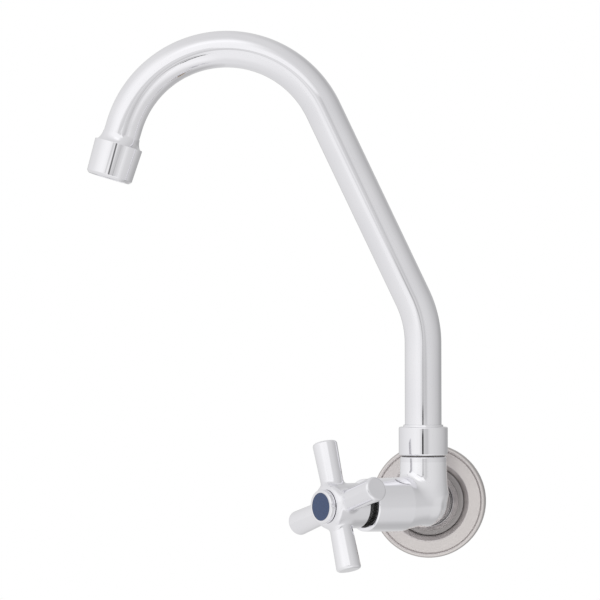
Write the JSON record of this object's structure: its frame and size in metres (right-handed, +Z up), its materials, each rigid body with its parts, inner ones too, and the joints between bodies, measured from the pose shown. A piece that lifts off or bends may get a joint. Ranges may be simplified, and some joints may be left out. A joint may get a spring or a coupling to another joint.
{
  "type": "wall faucet",
  "caption": "Wall faucet with a swivelling gooseneck spout, a round wall flange and a cross handle on an angled valve barrel.",
  "frame": {"origin": "middle of the supply hole, on the plane of the wall that the flange's back rests on", "axes": "+Z up along the riser, +Y into the wall, -Y out into the room"},
  "size_m": [0.204, 0.1359, 0.28],
  "materials": {
    "chrome": "polished chrome plating on brass",
    "flange_steel": "pressed stainless sheet with a fine circular grain",
    "brass": "machined brass, unplated",
    "black_polymer": "black moulded polymer",
    "rubber": "black nitrile rubber",
    "fibre": "pressed red fibre",
    "packing": "packing cord in fluoropolymer",
    "nylon": "natural moulded polymer",
    "index_blue": "blue printed disc under a clear gloss",
    "screen_steel": "woven stainless wire",
    "screw_steel": "plain stainless steel"
  },
  "bodies": {
    "body": {"wall_flange": "flange_steel", "inlet_nipple": "brass", "valve_body": "chrome", "seat_ring": "brass", "bonnet_gasket": "fibre", "bonnet": "brass", "stem_packing": "packing", "gland_nut": "brass", "dust_sleeve": "black_polymer", "thrust_washer": "nylon", "slip_ring": "nylon", "spout_nut": "chrome"},
    "plunger": {"jumper_valve": "brass", "seat_washer": "rubber", "washer_nut": "brass"},
    "handle": {"spindle": "brass", "cross_handle": "chrome", "handle_screw": "screw_steel", "index_cap": "chrome", "index_disc": "index_blue"},
    "spout": {"spout_foot": "brass", "spout_rings": "rubber", "spout_tube": "chrome", "outlet_ferrule": "chrome", "aerator_shell": "chrome", "aerator_washer": "rubber", "aerator_insert": "nylon", "aerator_screens": "screen_steel"}
  },
  "joints": [
    {"name": "spout_swivel", "type": "hinge", "parent": "body", "child": "spout", "pos_m": [0, -0.038, 0], "axis": [0, 0, 1], "range_deg": [-7.5, 172.5]},
    {"name": "valve_lift", "type": "slide", "parent": "body", "child": "plunger", "axis": [-0.7071, -0.7071, 0], "range_m": [0, 0.00451]},
    {"name": "handle_turn", "type": "hinge", "parent": "plunger", "child": "handle", "pos_m": [0, -0.038, 0], "axis": [-0.7071, -0.7071, 0], "range_deg": [0, 810]}
  ],
  "couplings": [
    {"joint": "valve_lift", "follows": "handle_turn", "m_per_rad": 0.00031831}
  ]
}
